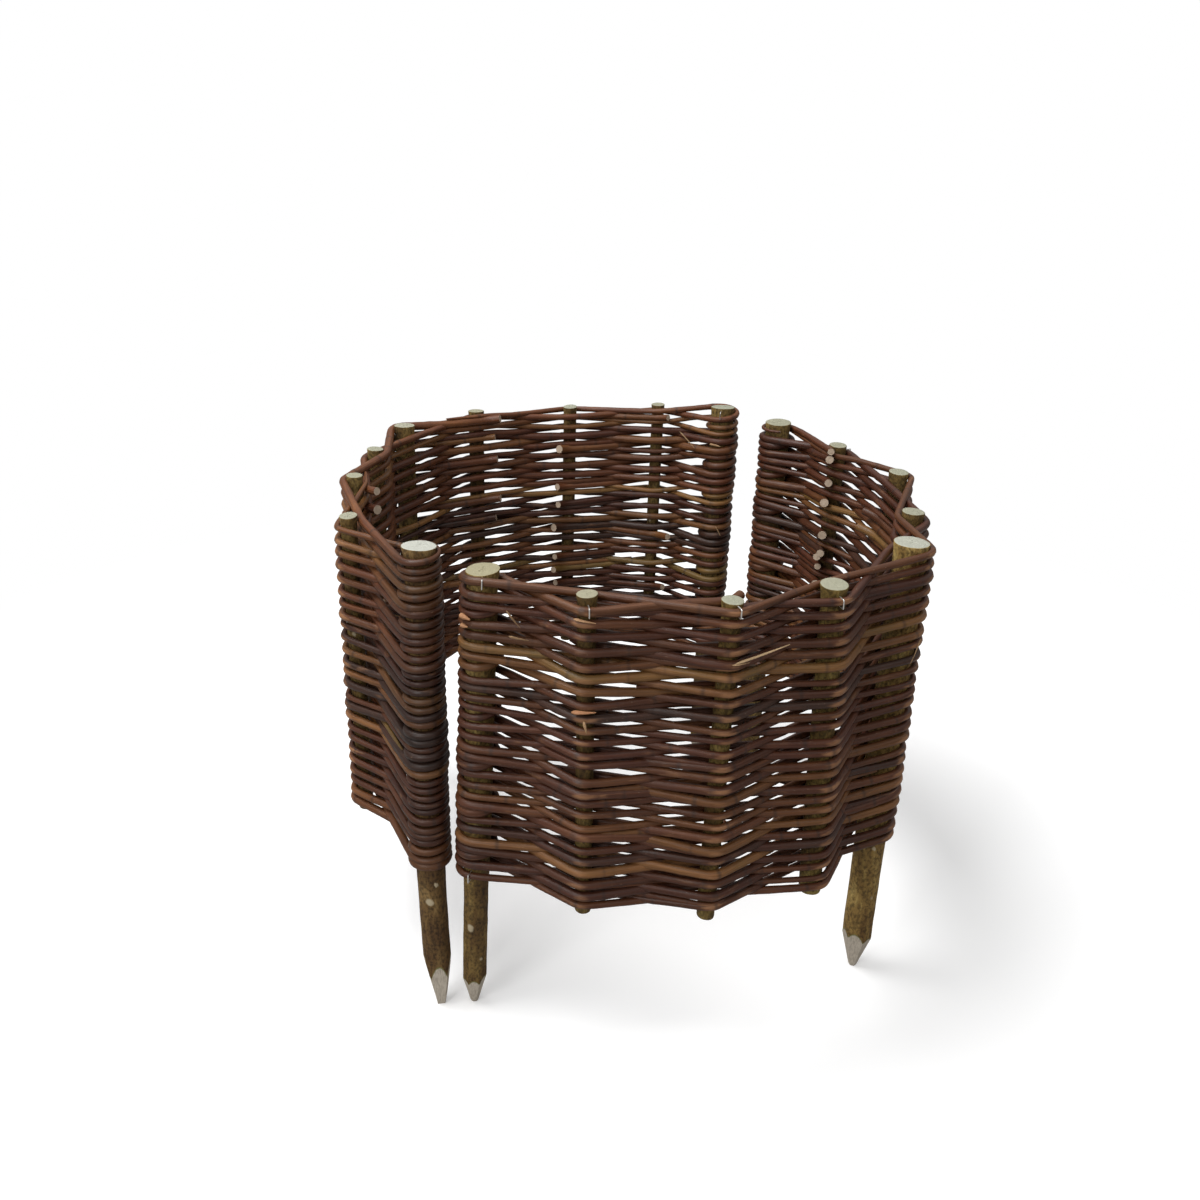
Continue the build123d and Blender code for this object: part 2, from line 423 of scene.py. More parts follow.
# %% Sweep a section along a line
def sweep(line, radius, sides, level=(0.0, 0.0, 1.0), oval=1.0):
    """The grid of a tube along a line.

    Point = line + radius * (cos a * side + oval * sin a * up), where side is the direction square to the line
    and to level, and up is square to the line and to side. Also returns the angle a of each column.
    """
    ahead = np.gradient(line, axis=0)
    ahead /= np.linalg.norm(ahead, axis=1, keepdims=True)
    side = np.cross(ahead, np.array(level))
    side /= np.linalg.norm(side, axis=1, keepdims=True)
    up = np.cross(side, ahead)
    angle = np.arange(sides) * 2 * np.pi / sides
    around = np.cos(angle)[None, :, None] * side[:, None] + oval * np.sin(angle)[None, :, None] * up[:, None]
    return line[:, None] + radius[:, None, None] * around, angle


# %% Shape one rod
dark_reach = 52 * mm         # how far from the left front end stake the rods have darkened


def make_rod(line, bends, butt, tip, number, tone, shade, sides=10):
    """One willow rod as a tube, from its thick end to its thin end.

    Radius = straight fall from butt to tip, halved over the last 90 mm, times 1 + 0.08 at a bud scar, fading
    within 4 mm of it, + 0.035 * a wandering value. Worn = how strongly the rod bends, on the outer side of the
    bend. The shade falls by 0.48 * e^-(distance from the left front end stake / 52 mm)^2.
    """
    rng = np.random.default_rng(number)
    along = distance_along(line)
    scars = np.cumsum(rng.uniform(0.030, 0.060, 60))
    swell = np.exp(-(((along[:, None] - scars) / (4 * mm)) ** 2)).sum(1)
    end_taper = 1 - 0.5 * np.clip(1 - (along[-1] - along) / (90 * mm), 0, 1) ** 1.5
    radius = (butt + (tip - butt) * along / along[-1]) * end_taper
    radius = radius * (1 + 0.08 * swell + 0.035 * wander(along, number, 0.05))
    grid, angle = sweep(line, radius, sides)
    from_dark = np.linalg.norm(line[:, :2] - stakes["left"][0]["top"][:2], axis=1)
    dark = np.exp(-((from_dark / dark_reach) ** 2))
    bark, colour = np.empty(grid.shape), np.empty(grid.shape)
    # the bark of each rod lies in its own part of the pattern
    bark[..., 0] = along[:, None] + number * 3.7
    bark[..., 1] = radius[:, None] * np.cos(angle)
    bark[..., 2] = radius[:, None] * np.sin(angle)
    colour[..., 0] = tone
    colour[..., 1] = (shade * (1 - 0.48 * dark))[:, None]
    colour[..., 2] = swell[:, None]
    worn = np.clip(bends[:, None] * np.cos(angle), 0, 1)[..., None]
    return {"grid": grid, "values": {"bark": bark, "colour": colour, "worn": worn}, "cut": 1.0}


def ease(distance, length):
    """A smooth step: 0 up to distance 0 and 1 from distance length on, with 3 x^2 - 2 x^3 between."""
    share = np.clip(distance / length, 0, 1)
    return share * share * (3 - 2 * share)


# %% Place the ends of a rod
ease_apart = 2.7 * mm        # how far two rods that overlap move up or down to clear each other


def bend_in(line, rng):
    """Six points of a butt before a rod's first point, where it comes in from inside the ring.

    Point = first point - ahead * back + inward * (back / 20 mm)^2 * 7 to 12 mm, with back from 16 to 24 mm down
    to 3 mm. Inward is level and square to the stake but for a rise of 0.3.
    """
    ahead = line[1] - line[0]
    ahead /= np.linalg.norm(ahead)
    back = np.linspace(rng.uniform(16, 24) * mm, 3 * mm, 6)[:, None]
    inward = -np.append(line[0][:2], 0) / np.hypot(*line[0][:2])
    inward[2] = 0.3
    return line[0] - ahead * back + inward * (back / (20 * mm)) ** 2 * rng.uniform(7, 12) * mm


# %% Grow the rods of a half
# the kinds of willow: the share of rods up to and with this kind, and its lowest and highest tone
rod_kinds = ((0.60, 0.36, 0.60), (0.80, 0.60, 0.80), (0.90, 0.84, 1.0), (1.0, 0.14, 0.28))
top_tones = (0.44, 0.62)     # of the last two rods, which are all alike
butt_radius = 4.1 * mm
tip_radius = 2.95 * mm
first_tip_radius = 3.4 * mm


def make_rods(half, seed):
    """All the rods of a half ring, from the bottom up.

    Where two rods overlap, the old thin end is eased to one side in height and the new butt to the other. A
    rod reaches 5 to 23 points past its joint, and its size is 0.82 to 1.14 of the usual one.
    """
    visits, points, bends, marks = rod_lines[half]
    rng = np.random.default_rng(seed)
    stops = [None] + joints[half] + [None]
    rods = []
    lift = 1.0
    for number, (begin, end) in enumerate(zip(stops, stops[1:])):
        first = 0 if begin is None else marks[begin][1]
        over = int(rng.integers(5, 24))
        last = len(points) - 1 if end is None else min(marks[end][1] + over, len(points) - 1)
        line, bend = points[first : last + 1].copy(), bends[first : last + 1]
        along = distance_along(line)
        if begin is not None:
            line[:, 2] += lift * ease_apart * (1 - ease(along - 40 * mm, 60 * mm))
        lift = rng.choice([-1.0, 1.0])
        if end is not None:
            joint_at = along[marks[end][1] - first]
            line[:, 2] -= lift * ease_apart * ease(along - (joint_at - 50 * mm), 45 * mm)
        if begin is not None:
            line, bend = np.concatenate([bend_in(line, rng), line]), np.concatenate([np.zeros(6), bend])
        size = rng.uniform(0.82, 1.14)
        kind = rng.random()
        tone = rng.uniform(*next(tones for limit, *tones in rod_kinds if kind < limit))
        shade = rng.uniform(0.75, 1.2)
        if number > len(joints[half]) - 2:
            tone = rng.uniform(*top_tones)
        tip = first_tip_radius if number == 0 else tip_radius
        rods.append(make_rod(line, bend, butt_radius * size, tip * size, seed * 100 + number, tone, shade))
    return rods


# %% Weave both halves
rod_pieces = []
for half, seed in (("left", 21), ("right", 22)):
    rods = make_rods(half, seed)
    middle = len(rods) // 2
    for part, share in (("lower", rods[:middle]), ("upper", rods[middle:])):
        piece = add_piece(f"{half}_{part}_rods", share)
        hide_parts(f"{half}_weave")
        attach(piece, "root")
        rod_pieces.append(piece)

# %% [markdown]
# ## The stakes
#
# A stake is a sawn pole with its bark on. A cylinder with a cone for a point would look turned. The real
# point is chopped with four to six strokes, and where the bark bends the cuts end in arches, so the radius at
# each height and bearing is whichever is less: the lumpy bark, or the nearest of the slanting cuts. How deep
# the cut lies under the bark is kept at each point, and the finish turns it into a crisp line.

# %% The bark of a stake
def stake_radius(stake, bearing, height, seed, knots, look):
    """The bark's radius at a bearing and height, and how strong a knot scar is there.

    Radius = the pole's radius, slimmer in the leg and flared by the mallet over the top 4.5 mm, times
    1 + 0.014 * slow lumps, + 0.9 mm for each knot. A knot, as height, bearing and size, fades with
    e^-(distance along and round the pole / size)^2.
    """
    leg = 1 / (1 + np.exp((height - weave_low - 6 * mm) / (9 * mm)))
    radius = stake["radius"] - look["slim"] * leg
    radius = radius + look["flare"] * np.exp(-(((stake["top"][2] - height) / (4.5 * mm)) ** 2))
    swirl = 2 * bearing + 6 * wander(height, seed + 1, 0.4, 3)
    lumps = wander(height + 0.02 * np.sin(bearing + seed), seed, 0.11) + 0.6 * np.sin(swirl)
    lumps = lumps + 0.9 * np.sin(3 * bearing + seed) + 0.5 * np.sin(5 * bearing - seed)
    radius = radius * (1 + 0.014 * lumps) - 0.2 * mm
    scar = np.zeros(np.broadcast(bearing, height).shape)
    for knot_height, knot_bearing, size in knots:
        aside = (bearing - knot_bearing + np.pi) % (2 * np.pi) - np.pi
        away = np.hypot(height - knot_height, aside * stake["radius"]) / size
        scar = np.maximum(scar, np.exp(-(away**2)))
        radius = radius + 0.9 * mm * np.exp(-(away**2))
    return radius, scar


# %% The chopped point
def ordinary_facets(stake, seed):
    """Four cuts a quarter turn apart, each as its facing, its distance from the axis at the tip and its slope.

    Slope = (radius of the leg - distance at the tip) / the length of the cut, which is 33 to 42 mm.
    """
    rng = np.random.default_rng(seed)
    turned = rng.uniform(0, 0.6)
    facets = []
    for side in range(4):
        tip = rng.uniform(2.9, 4.1) * mm
        slope = (stake["leg_radius"] - tip) / (rng.uniform(33, 42) * mm)
        facets.append((turned + side * np.pi / 2 + rng.uniform(-0.12, 0.12), tip, slope))
    return facets


def cut_radius(bearing, height, facets):
    """How far from the axis the cuts lie: the least of (tip + height * slope) / cos(bearing - facing)."""
    beyond = 1.0
    nearest = np.full(np.broadcast(bearing, height).shape, beyond)
    for facing, tip, slope in facets:
        towards = np.cos(bearing - facing)
        plane = (tip + height * slope) / np.maximum(towards, 0.05)
        nearest = np.minimum(nearest, np.where(towards > 0.05, plane, beyond))
    return nearest


def shape_bark(stake, bearing, seed, knots, look):
    """The rows of a stake from its foot to its top: radius, height, depth under the bark, and scar.

    A long stake has its rows close together over the 50 mm of its point. There radius = the lesser of the bark
    and the cuts, and depth = bark - cut. A thin stake has no cuts, and its depth is -4 mm.
    """
    low, high = stake["foot"][2], stake["top"][2]
    if not stake["long"]:
        height = np.linspace(low, high, 66)[:, None]
        bark, scar = stake_radius(stake, bearing, height, seed, knots, look)
        return bark, height + 0 * bearing, np.full(bark.shape, -4 * mm), scar
    point_top = low + 50 * mm
    levels = np.concatenate([np.linspace(low, point_top, 40)[:-1], np.linspace(point_top, high, 90)])
    height = levels[:, None]
    bark, scar = stake_radius(stake, bearing, height, seed, knots, look)
    facets = ordinary_facets(stake, seed)
    if "facets" in look:
        facets = [(math.radians(facing), tip * mm, slope) for facing, tip, slope in look["facets"]]
    cuts = cut_radius(bearing, height - low, facets)
    return np.minimum(bark, cuts), height + 0 * bearing, bark - cuts, scar


# %% The sawn faces
saw_shares = np.array([0.985, 0.93, 0.7, 0.4, 0.15])[:, None]
saw_rise = np.array([0.5, 0.8, 0.8, 0.8, 0.8])[:, None] * mm


def add_sawn_faces(stake, bearing, bark_rows, seed):
    """The rows of a stake with five more at each end, which run inwards at shares of the rim's radius.

    Height = the end of the stake + the rise + 0.35 mm * the marks of the saw, which only the top has. Depth is
    3 mm, which the finish takes for fresh wood, but for -1 mm on the outermost row. The tip of a long stake is
    flat and 2 mm deep.
    """
    radius, height, depth, scar = bark_rows
    marks = 0.35 * mm * wander(bearing * 3 + saw_shares * 9, seed + 5, 2.0)
    top_height = stake["top"][2] + (saw_rise + marks * (saw_shares < 0.9))
    fresh = np.where(saw_shares < 0.95, 3 * mm, -1 * mm) + 0 * bearing
    foot_rise = 0 * saw_rise if stake["long"] else -saw_rise[::-1]
    foot_height = stake["foot"][2] + foot_rise + 0 * bearing
    foot_fresh = np.full(fresh.shape, 2 * mm) if stake["long"] else fresh[::-1]
    no_scar = np.zeros(fresh.shape)
    radius = np.concatenate([radius[0] * saw_shares[::-1], radius, radius[-1] * saw_shares])
    height = np.concatenate([foot_height, height, top_height])
    return radius, height, np.concatenate([foot_fresh, depth, fresh]), np.concatenate([no_scar, scar, no_scar])


# %% Shape one stake
def side_by_side(*numbers):
    """Numbers of each point as a vector, with the columns turned round so that the faces look outwards."""
    return np.stack(np.broadcast_arrays(*numbers), -1)[:, ::-1]


def make_stake(stake, seed, knots, look):
    """One stake as a grid from its foot to its top.

    Point = the axis at that height + radius * (cos bearing, sin bearing). The saw's tilt raises the top by
    tilt * the distance from the axis. The leg bows away from the straight axis by bow * (depth under the
    weave / leg length)^1.5.
    """
    columns = 44 if stake["long"] else 28
    low, high = stake["foot"][2], stake["top"][2]
    bearing = np.arange(columns)[None, :] * 2 * np.pi / columns
    bark_rows = shape_bark(stake, bearing, seed, knots, look)
    radius, height, depth, scar = add_sawn_faces(stake, bearing, bark_rows, seed)
    tilt = look["tilt"][0] * np.cos(bearing) + look["tilt"][1] * np.sin(bearing)
    height = np.where(height >= high, height + radius * tilt, height)
    across_x, across_y = radius * np.cos(bearing), radius * np.sin(bearing)
    middle = axis_at(stake, height)
    bow = np.clip((weave_low + 10 * mm - height) / weave_low, 0, 1) ** 1.5
    x = middle[..., 0] + bow * look["bow"][0] + across_x
    y = middle[..., 1] + bow * look["bow"][1] + across_y
    is_sawn = 1.0 * (np.arange(len(radius)) >= len(radius) - len(saw_shares))[:, None]
    # each stake has its own part of the pattern
    pattern_shift = seed * 0.71
    pale, yellow = look["pale"], look["yellow"]
    values = {
        "place": side_by_side(across_x, across_y, height + pattern_shift),
        "wood": side_by_side(depth, scar, pale),
        # the third number of sawn is painted light: it makes the stake's bark brighter or darker as if more or
        # less light fell on it
        "sawn": side_by_side(is_sawn + 0 * depth, yellow, look["light"]),
        "green": np.full((*depth.shape, 1), look["green"]),
    }
    middles = {
        "place": [[0, 0, low + pattern_shift], [0, 0, high + pattern_shift]],
        "wood": [[2 * mm, 0, pale], [3 * mm, 0, pale]],
        "sawn": [[0, yellow, 1], [1, yellow, 1]],
    }
    return {"grid": side_by_side(x, y, height), "values": values, "middles": middles}


# %% What is seen on single stakes
ordinary_look = {
    "slim": 0.5 * mm, "flare": 0.6 * mm, "tilt": (0.0, 0.0), "bow": (0.0, 0.0), "light": 1.0, "green": 0.4,
}
# the knots that show on the legs: height in mm, bearing in degrees and size in mm
seen_knots = {
    "left_front_end_stake": [(118, -60, 4.0), (136, -30, 1.8)],
    "right_front_end_stake": [(97, -74, 3.9), (60, -20, 2.0)],
    "right_middle_stake": [(92, -30, 2.4)],
}
# what is not ordinary about a stake: its sawn top, its leg and the cuts of its point, each as its facing in
# degrees, its distance from the axis at the tip in mm, and its slope
# light is painted light on the bark: above 1 for a leg that stood in more light, below 1 for one in less
seen_looks = {
    "left_front_end_stake": {
        "pale": 1.0, "yellow": 0.05, "light": 0.92, "green": 0.0,
        "flare": 1.9 * mm, "slim": 0.0, "bow": (7.2 * mm, -0.9 * mm), "tilt": (0.03, -0.10),
        "facets": [(-46, 3.6, 0.192), (32, 4.6, 0.150), (100, 3.8, 0.20), (165, 3.6, 0.20), (-128, 3.4, 0.178)],
    },
    "right_front_end_stake": {
        "pale": 0.45, "yellow": 0.8, "light": 1.2, "green": 0.4,
        "flare": 1.3 * mm, "slim": 1.3 * mm, "bow": (-2.2 * mm, 3.6 * mm), "tilt": (0.05, 0.03),
        "facets": [
            (-52, 2.9, 0.25), (5, 3.2, 0.22), (62, 3.3, 0.19),
            (130, 3.1, 0.23), (-165, 3.2, 0.23), (-108, 3.0, 0.25),
        ],
    },
    "right_middle_stake": {
        "pale": 0.8, "yellow": 0.15, "light": 1.65, "green": 0.4,
        "flare": 0.8 * mm, "slim": 0.3 * mm, "tilt": (0.0, -0.05),
        "facets": [
            (-75, 3.4, 0.215), (-15, 3.2, 0.26), (45, 3.2, 0.25),
            (105, 3.4, 0.25), (165, 3.3, 0.23), (-132, 3.3, 0.22),
        ],
    },
    "right_thin_6_stake": {"flare": 1.0 * mm, "pale": 0.5, "yellow": 0.5, "light": 0.9, "green": 0.45},
    "right_thin_5_stake": {"flare": 1.0 * mm, "pale": 0.5, "yellow": 0.1, "light": 1.1, "green": 0.6},
    "right_thin_4_stake": {"flare": 1.2 * mm, "pale": 0.6, "yellow": 0.3, "light": 1.1, "green": 0.7},
    "left_back_end_stake": {"pale": 0.6, "yellow": 0.1, "tilt": (0.06, -0.09)},
    "left_thin_4_stake": {"pale": 0.3, "yellow": 0.4, "tilt": (0.05, -0.08)},
}
print("stakes with a look of their own:", len(seen_looks))

# %% Set up the stakes
stake_pieces = []
for half, row in stakes.items():
    for i, stake in enumerate(row):
        seed = 40 + i + (20 if half == "right" else 0)
        rng = np.random.default_rng(seed)
        knots = [(h * mm, math.radians(b), size * mm) for h, b, size in seen_knots.get(stake["node"], [])]
        knots += [(rng.uniform(0.03, 0.4), rng.uniform(0, 6.28), rng.uniform(1.8, 3.0) * mm) for _ in range(4)]
        look = ordinary_look | {"pale": rng.uniform(0.4, 0.7), "yellow": rng.uniform(0.1, 0.4)}
        look |= {"tilt": tuple(rng.uniform(-0.07, 0.07, 2))} | seen_looks.get(stake["node"], {})
        tube = make_stake(stake, seed, knots, look)
        piece = add_piece(stake["node"].replace("_stake", "_pole"), [tube], sharp=38)
        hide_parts(stake["node"])
        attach(piece, "root")
        stake_pieces.append(piece)

# %% [markdown]
# ## Staples, slivers and twigs
#
# A few wire staples hold the last rod down on its stake, and here and there a rod has split or a twig stands
# off. They are tiny, and the ring would be whole without them, but they are what tells handwork from a
# pattern. Each is the same swept tube as a rod, thin or flat, set by its stake, its height and its bearing.

# %% Bend the staples
wire_radius = 0.55 * mm


def make_staple(stake, bearing, drop):
    """A wire from the pole out over the rod, down in front of it, and back into the pole.

    It is a tube along six corners, given as the distance out from the pole and the height, with the bends
    softened once. Bearing is where on the pole it sits and drop is how far it lies under the pole's top.
    """
    out = np.array([0.0, 8.0, 8.6, 8.6, 8.0, 0.0]) * mm + stake["radius"] - 1.2 * mm
    height = stake["top"][2] - drop - np.array([0.0, 0.0, 0.7, 7.0, 7.7, 7.7]) * mm
    middle = axis_at(stake, height)
    line = np.stack([middle[:, 0] + out * np.cos(bearing), middle[:, 1] + out * np.sin(bearing), height], -1)
    spread = np.linspace(0, 5, 31)
    line = np.stack([np.interp(spread, np.arange(6), line[:, k]) for k in range(3)], -1)
    beside_pole = (math.sin(bearing), -math.cos(bearing), 0.0)
    grid, _ = sweep(relax(line, 1), np.full(len(line), wire_radius), 8, beside_pole)
    return {"grid": grid, "values": {"place": grid}}


# half, stake, bearing in degrees and drop in mm
staple_places = [
    ("right", 8, -52, 0.5), ("right", 7, -48, 5.5), ("right", 6, -36, 0.5), ("right", 5, -40, 5.5),
    ("left", 8, -70, 0.5), ("left", 3, 150, 5.5), ("right", 1, 60, 5.5), ("right", 8, -72, 283.5),
]
bent = [make_staple(stakes[half][i], math.radians(turn), drop * mm) for half, i, turn, drop in staple_places]
staples = add_piece("wire_staples", bent)
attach(staples, "root")


# %% Split off slivers and twigs
def make_sliver(half, i, start, end, width, fresh, flat):
    """A splinter or twig by stake i of a half, from start to end.

    Both are a bearing in degrees, a distance from the stake's axis and a height in mm. The line between them
    bows half a millimetre outwards, and the width falls by 0.8 * share^2 to a fifth at the far end. Fresh is 1
    for orange wood and 0 for tan, and flat is the thickness as a share of the width.
    """
    stake = stakes[half][i]
    share = np.linspace(0, 1, 13)
    ends = []
    for bearing, away, height in (start, end):
        middle = axis_at(stake, np.array(height * mm))
        turn = math.radians(bearing)
        x, y = middle[0] + away * mm * math.cos(turn), middle[1] + away * mm * math.sin(turn)
        ends.append(np.array([x, y, height * mm]))
    line = ends[0] + (ends[1] - ends[0]) * share[:, None]
    outward = np.append(line[6][:2], 0) / np.hypot(*line[6][:2])
    line = line + outward * 0.5 * mm * np.sin(np.pi * share)[:, None]
    radius = width / 2 * mm * np.minimum(1, 0.3 + 5 * share) * (1 - 0.8 * share**2)
    grid, _ = sweep(line, radius, 8, (0.0, 0.0, 1.0), flat)
    values = {"place": grid, "fresh": np.full((*grid.shape[:2], 1), float(fresh))}
    return {"grid": grid, "values": values}


# half, stake, start, end, width, fresh and flat
sliver_places = [
    ("right", 6, (-45, 17, 397), (16, 45, 414), 3.0, 0.0, 0.6),
    ("right", 6, (-50, 16.5, 396), (-15, 22, 399), 2.2, 0.2, 0.6),
    ("right", 7, (-95, 15.5, 429), (-30, 16.0, 427), 3.6, 0.5, 0.6),
    ("right", 7, (-100, 15.5, 347), (-25, 15.8, 349), 4.6, 1.0, 0.8),
    ("right", 7, (-60, 14.5, 341), (-52, 19, 333), 2.8, 0.3, 1.0),
    ("right", 8, (-112, 19.4, 412), (-78, 19.6, 411), 5.2, 0.9, 0.9),
    ("right", 8, (-106, 19.4, 404), (-84, 19.5, 404), 4.6, 0.8, 0.9),
    ("left", 7, (-22, 42, 424), (-14, 60, 408), 1.5, 0.1, 1.0),
    ("left", 8, (-100, 19.5, 412), (-62, 19.5, 411), 3.2, 0.3, 0.9),
    ("left", 8, (-60, 20, 316), (-45, 24, 306), 1.2, 0.3, 1.0),
    ("right", 4, (-12, 20.5, 366), (-42, 23.5, 344), 1.2, 0.2, 1.0),
    ("right", 7, (-150, 60, 404), (-158, 46, 398), 2.0, 0.2, 1.0),
    ("right", 7, (-152, 62, 425), (-156, 52, 409), 1.6, 0.3, 1.0),
]
slivers = add_piece("slivers", [make_sliver(*place) for place in sliver_places])
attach(slivers, "root")

# %% [markdown]
# ## Shader maths as arithmetic
#
# A finish is a small calculation: two browns mixed by a pattern, darker here, paler there. Wired by hand it
# becomes a web that nobody can read back. So a socket is wrapped in a class whose plus, minus and times add
# the node that does them, and any other node comes from one method.

# %% Wrap a socket
class Socket:
    """An output socket that can be added, subtracted and multiplied, on either side of the sign."""

    def __init__(self, finish, output):
        self.finish, self.output = finish, output

    def maths(self, operation, *values):
        """A Math node on the values."""
        return self.finish.node("ShaderNodeMath", {"operation": operation}, dict(enumerate(values)))[0]

    def __add__(self, other):
        return self.maths("ADD", self, other)

    def __sub__(self, other):
        return self.maths("SUBTRACT", self, other)

    def __rsub__(self, other):
        return self.maths("SUBTRACT", other, self)

    def __mul__(self, other):
        return self.maths("MULTIPLY", self, other)

    __radd__ = __add__
    __rmul__ = __mul__


# %% Gather the nodes of a finish
class Finish:
    """The nodes of one material, or of the sky."""

    def __init__(self, owner):
        self.owner = owner
        owner.use_nodes = True
        self.tree = owner.node_tree
        self.tree.nodes.clear()

    def node(self, kind, settings=None, inputs=None):
        """Adds a node and returns its outputs by number and by name.

        Settings are made first, because some of them change the sockets. Stops are those of a colour ramp.
        """
        made = self.tree.nodes.new(kind)
        for key, value in (settings or {}).items():
            if key == "stops":
                ramp = made.color_ramp.elements
                while len(ramp) < len(value):
                    ramp.new(1.0)
                for element, (position, colour) in zip(ramp, value):
                    element.position, element.color = position, (*colour, 1.0)
            else:
                setattr(made, key, value)
        for key, value in (inputs or {}).items():
            if isinstance(value, Socket):
                self.tree.links.new(value.output, made.inputs[key])
            else:
                made.inputs[key].default_value = value
        sockets = [Socket(self, output) for output in made.outputs]
        return dict(enumerate(sockets)) | {socket.output.name: socket for socket in sockets}

    def between(self, value, low, high, start=0.0, stop=1.0):
        """The value carried from the range low to high to the range start to stop, smoothly and clamped."""
        settings = {"interpolation_type": "SMOOTHSTEP"}
        inputs = {"Value": value, "From Min": low, "From Max": high, "To Min": start, "To Max": stop}
        return self.node("ShaderNodeMapRange", settings, inputs)["Result"]

    def blend(self, share, colour, other, how="MIX"):
        """Two colours mixed: the first where the share is 0, the second where it is 1."""
        colour, other = [(*c, 1.0) if isinstance(c, tuple) and len(c) == 3 else c for c in (colour, other)]
        settings = {"data_type": "RGBA", "blend_type": how, "clamp_result": False}
        return self.node("ShaderNodeMix", settings, {0: share, 6: colour, 7: other})[2]

    def darken(self, colour, light):
        """A colour times a number."""
        grey = self.node("ShaderNodeCombineColor", {}, {0: light, 1: light, 2: light})[0]
        return self.blend(1.0, colour, grey, "MULTIPLY")

    def ramp(self, value, stops):
        """The colour at a value, between the stops."""
        return self.node("ShaderNodeValToRGB", {"stops": stops}, {0: value})["Color"]

    def noise(self, place, scale, detail=3.0, stretch=(1.0, 1.0, 1.0), roughness=0.55):
        """A noise of about 0 to 1 on a place, with the place first multiplied by stretch."""
        moved = self.node("ShaderNodeVectorMath", {"operation": "MULTIPLY"}, {0: place, 1: stretch})["Vector"]
        inputs = {"Vector": moved, "Scale": scale, "Detail": detail, "Roughness": roughness}
        return self.node("ShaderNodeTexNoise", {}, inputs)[0]

    def parts(self, attribute):
        """A stored vector as a whole and as its three numbers."""
        whole = self.node("ShaderNodeAttribute", {"attribute_name": attribute})["Vector"]
        split = self.node("ShaderNodeSeparateXYZ", {}, {0: whole})
        return whole, split[0], split[1], split[2]

    def number(self, attribute):
        """A stored number."""
        return self.node("ShaderNodeAttribute", {"attribute_name": attribute})["Fac"]

    def shade(self, colour, roughness, height, depth, **fixed):
        """The surface: a colour, a roughness, a bump so many metres deep, and fixed values for the rest."""
        bump_inputs = {"Strength": 1.0, "Distance": depth, "Height": height}
        bump = self.node("ShaderNodeBump", {}, bump_inputs)["Normal"]
        inputs = {"Base Color": colour, "Roughness": roughness, "Normal": bump, **fixed}
        surface = self.node("ShaderNodeBsdfPrincipled", {}, inputs)["BSDF"]
        self.node("ShaderNodeOutputMaterial", {}, {"Surface": surface})
        return self.owner


print("a finish can add:", [name for name in vars(Finish) if not name.startswith("_")])

# %% [markdown]
# ## The bark of the rods
#
# Fresh willow rods are anything from plum to honey brown, with a soft gloss. Along the rod the bark has fine
# streaks and paler rubbed places, and at each bud scar there is a dark ring. One flat brown would turn the
# wall into plastic, so each rod's tone picks a place on a ramp of willow browns, and noises that follow the
# rod shift it.

# %% Finish of the rods
rod_finish = Finish(bpy.data.materials.new("willow_rod_bark"))
bark, _, _, _ = rod_finish.parts("bark")
_, tone, shade, swell = rod_finish.parts("colour")
cut_end = rod_finish.number("cut_end")
worn = rod_finish.number("worn")
patches = rod_finish.noise(bark, 22.0, 3.0, (1.0, 2.0, 2.0))
streaks = rod_finish.noise(bark, 260.0, 4.0, (0.10, 3.0, 3.0))
rubbed = rod_finish.noise(bark, 55.0, 4.0, (0.6, 3.0, 3.0))
specks = rod_finish.noise(bark, 900.0, 2.0, (0.7, 1.0, 1.0))
browns = [
    (0.00, (0.012, 0.009, 0.008)),
    (0.18, (0.050, 0.021, 0.012)),
    (0.36, (0.064, 0.019, 0.009)),
    (0.50, (0.096, 0.031, 0.012)),
    (0.66, (0.146, 0.054, 0.017)),
    (0.84, (0.205, 0.090, 0.028)),
    (1.00, (0.150, 0.088, 0.024)),
]
moved_tone = tone + (patches - 0.5) * 0.42
brown = rod_finish.darken(rod_finish.ramp(moved_tone, browns), shade * (0.26 + streaks * 1.42))
brown = rod_finish.blend(rod_finish.between(rubbed, 0.60, 0.78, 0.0, 0.55), brown, (0.27, 0.130, 0.060))
scuffed = rod_finish.between(worn * 0.6 + rubbed, 0.80, 1.10, 0.0, 0.75)
brown = rod_finish.blend(scuffed, brown, (0.34, 0.165, 0.075))
brown = rod_finish.blend(rod_finish.between(specks, 0.66, 0.76, 0.0, 0.35), brown, (0.30, 0.20, 0.13))
brown = rod_finish.blend(rod_finish.between(swell, 0.55, 1.0, 0.0, 0.55), brown, (0.022, 0.012, 0.009))
fresh = rod_finish.blend(rod_finish.noise(bark, 400.0), (0.34, 0.25, 0.17), (0.60, 0.48, 0.37))
brown = rod_finish.blend(cut_end, brown, fresh)
gloss = rod_finish.between(streaks, 0.2, 0.8, 0.34, 0.54)
rod_material = rod_finish.shade(brown, gloss, streaks + rubbed * 0.6, 0.0004, **{"Specular IOR Level": 0.38})
for piece in rod_pieces:
    piece.data.materials.append(rod_material)
print("rod pieces dressed:", len(rod_pieces))

# %% [markdown]
# ## Bark, saw cuts and chopped points
#
# The poles are older wood: olive and grey-brown bark in blotches, with pale scars where twigs were. Where the
# saw or the axe went through, the wood is nearly white. One material does both, and the stored depth under
# the bark draws the line between them, with a thin green layer on the way in, as on fresh willow.

